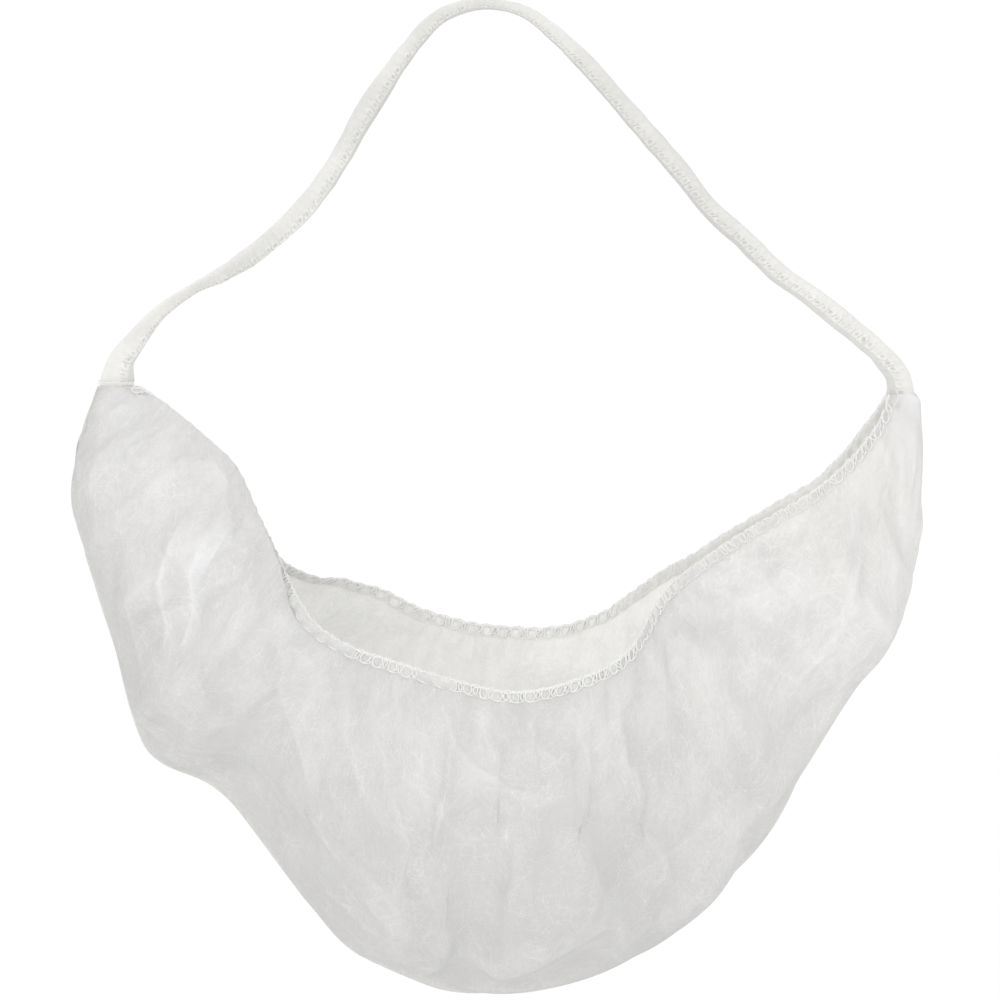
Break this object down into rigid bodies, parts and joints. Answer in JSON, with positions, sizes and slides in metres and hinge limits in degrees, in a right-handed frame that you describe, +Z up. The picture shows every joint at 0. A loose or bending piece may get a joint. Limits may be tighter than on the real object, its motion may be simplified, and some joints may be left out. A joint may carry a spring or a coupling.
{
  "type": "disposable beard net",
  "caption": "Disposable beard net: a gathered pouch of thin white nonwoven with overlocked elastic edges, hung from a flat elastic head loop.",
  "frame": {"origin": "the hang point: the inner side of the head loop at its highest point, where it rests on the head or on a hook", "axes": "+Z up along the hanging net, +X to the right of someone facing the front edge, +Y from the front edge to the back edge"},
  "size_m": [0.2659, 0.0918, 0.3182],
  "materials": {
    "nonwoven": "thin white spunbond, translucent, with fine random fibres and a faint silky sheen",
    "overlocked_edge": "white overlock thread looped over the gathered cloth edge",
    "elastic_strip": "white ribbed elastic folded in nonwoven, overlocked along one side"
  },
  "bodies": {
    "root": {"net_pouch": "nonwoven", "front_edge_elastic": "overlocked_edge", "back_edge_elastic": "overlocked_edge", "head_loop": "elastic_strip", "left_end_seam": "overlocked_edge"}
  },
  "joints": []
}
